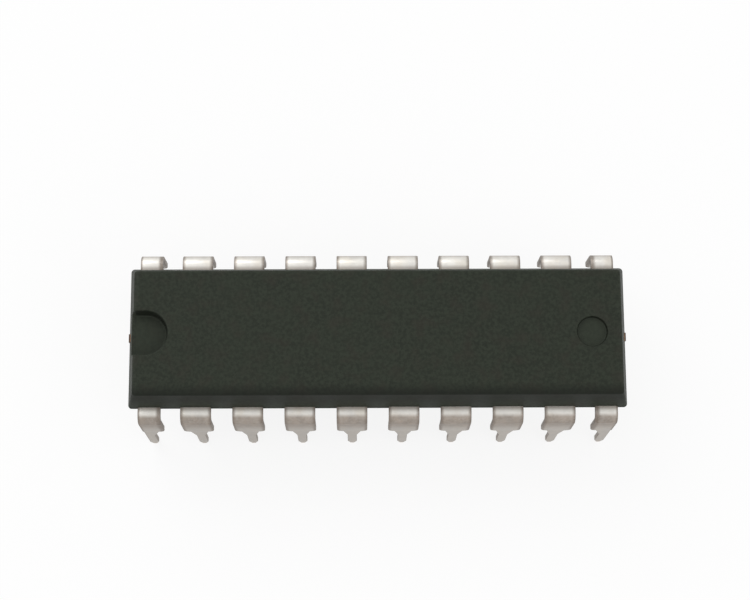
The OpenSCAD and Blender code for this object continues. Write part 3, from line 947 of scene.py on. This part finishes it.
class PACKAGE_OT_finish_die(Operator):
    """Give the silicon die and its adhesive their finishes"""

    bl_idname = "package.finish_die"
    bl_label = "Finish Die"

    def execute(self, context):
        colours = context.scene.package_core
        dress(["die_attach"], silver_adhesive(colours))
        dress(["silicon_die"], circuit_silicon(colours))
        return {"FINISHED"}


class PACKAGE_OT_finish_bond_wires(Operator):
    """Give the twenty bond wires their gold finish"""

    bl_idname = "package.finish_bond_wires"
    bl_label = "Finish Bond Wires"

    def execute(self, context):
        names = [f"bond_wire_{number:02d}" for number in range(1, LEAD_COUNT + 1)]
        dress(names, drawn_gold(context.scene.package_core))
        return {"FINISHED"}


def white_to_the_eye(tree):
    """One for rays that the camera, a reflection or a clear piece sends out, and nought for others."""
    path = put(tree, "LightPath").outputs
    seen = maths(tree, "ADD", path["Is Camera Ray"], path["Is Glossy Ray"])
    seen = maths(tree, "ADD", seen, path["Is Transmission Ray"])
    return maths(tree, "MINIMUM", seen, 1.0)


def lay_floor(settings):
    """White floor that takes the object's shadow: most of what the eye sees of it glows."""
    glow_share = 0.85
    deselect_everything()
    bpy.ops.mesh.primitive_plane_add(size=settings.floor_size)
    floor = added("floor")
    paint = bpy.data.materials.new("floor_white")
    paint.use_nodes = True
    tree = paint.node_tree
    shader = tree.nodes["Principled BSDF"]
    shader.inputs["Base Color"].default_value = rgb(settings.floor_colour)
    shader.inputs["Roughness"].default_value = 0.9
    shader.inputs["Specular IOR Level"].default_value = 0.0
    glow = put(tree, "Emission", {"Color": (1, 1, 1, 1), "Strength": 1.0})
    share = times(tree, white_to_the_eye(tree), glow_share)
    mixed = put(tree, "MixShader", {0: share, 1: shader.outputs[0], 2: glow.outputs[0]})
    tree.links.new(mixed.outputs[0], tree.nodes["Material Output"].inputs["Surface"])
    floor.data.materials.append(paint)


def light_world(settings):
    world = bpy.data.worlds.new("daylight")
    world.use_nodes = True
    tree = world.node_tree
    background = tree.nodes["Background"]
    background.inputs["Color"].default_value = (1, 1, 1, 1)
    strength = ramp(tree, white_to_the_eye(tree), 0, 1, settings.daylight, 1.0)
    tree.links.new(strength, background.inputs["Strength"])
    bpy.context.scene.world = world


def hang_lamp(name, watts, size, place, aim):
    deselect_everything()
    bpy.ops.object.light_add(type="AREA", location=place)
    lamp = bpy.context.view_layer.objects.active
    lamp.name = name
    lamp.data.shape = "RECTANGLE"
    lamp.data.size, lamp.data.size_y = size
    lamp.data.energy = watts
    lamp.rotation_euler = (Vector(aim) - Vector(place)).to_track_quat("-Z", "Y").to_euler()


def set_camera(settings):
    azimuth, elevation, roll = settings.azimuth, settings.elevation, settings.roll
    strip_z = first_high.z - bpy.context.scene.package_leads.thickness / 2
    aim = Vector((settings.aim_x, settings.aim_y, strip_z))
    back = Vector((math.sin(azimuth) * math.cos(elevation), -math.cos(azimuth) * math.cos(elevation),
                   math.sin(elevation)))
    level = Vector((-back.y, back.x, 0)).normalized()
    upward = back.cross(level)
    across = level * math.cos(roll) + upward * math.sin(roll)
    above = upward * math.cos(roll) - level * math.sin(roll)
    deselect_everything()
    bpy.ops.object.camera_add()
    camera = bpy.context.view_layer.objects.active
    camera.name = "photo_camera"
    turned = Matrix((across, above, back)).transposed().to_4x4()
    camera.matrix_world = Matrix.Translation(aim + back * settings.distance) @ turned
    camera.data.sensor_width = 36.0
    camera.data.lens = settings.focal_px / PHOTO_WIDTH_PX * camera.data.sensor_width
    camera.data.clip_start, camera.data.clip_end = 0.001, 10.0
    bpy.context.scene.camera = camera


class PACKAGE_OT_set_stage(Operator):
    """Lay the white floor, hang the lights and set the camera"""

    bl_idname = "package.set_stage"
    bl_label = "Set Stage"

    def execute(self, context):
        settings = context.scene.package_stage
        context.scene.view_settings.view_transform = "Standard"
        lay_floor(settings)
        light_world(settings)
        middle = (0, 0, body_high.z / 2)
        key_size, key_place = (0.30, 0.24), (-0.15, 0.22, 0.27)
        fill_size, fill_place = (0.25, 0.25), (0.28, -0.22, 0.27)
        hang_lamp("key_light", settings.key_power, key_size, key_place, middle)
        hang_lamp("fill_light", settings.fill_power, fill_size, fill_place, middle)
        set_camera(settings)
        return {"FINISHED"}


class PACKAGE_PT_sidebar(Panel):
    """Lists the steps that build the package"""

    bl_label = "Dual In-Line Package"
    bl_space_type = "VIEW_3D"
    bl_region_type = "UI"
    bl_category = "Package"

    def draw(self, context):
        for step in STEPS:
            self.layout.operator(step.bl_idname)
        for group in GROUPS:
            box = self.layout.box()
            box.label(text=group)
            settings = getattr(context.scene, group)
            for name in settings.__annotations__:
                box.prop(settings, name)


GROUPS = {"package_body": BodySizes, "package_leads": LeadSizes, "package_core": CoreColours,
          "package_stage": StageSettings}
STEPS = (PACKAGE_OT_set_stage, PACKAGE_OT_mould_body, PACKAGE_OT_form_leads, PACKAGE_OT_finish_die_pad,
         PACKAGE_OT_finish_die, PACKAGE_OT_finish_bond_wires)


def register():
    for kind in (*GROUPS.values(), *STEPS, PACKAGE_PT_sidebar):
        bpy.utils.register_class(kind)
    for name, kind in GROUPS.items():
        setattr(bpy.types.Scene, name, PointerProperty(type=kind))


def unregister():
    for name in GROUPS:
        delattr(bpy.types.Scene, name)
    for kind in (PACKAGE_PT_sidebar, *reversed(STEPS), *reversed(GROUPS.values())):
        bpy.utils.unregister_class(kind)


def main():
    register()
    bpy.ops.package.set_stage()
    bpy.ops.package.mould_body()
    bpy.ops.package.form_leads()
    bpy.ops.package.finish_die_pad()
    bpy.ops.package.finish_die()
    bpy.ops.package.finish_bond_wires()


if __name__ == "__main__":
    main()
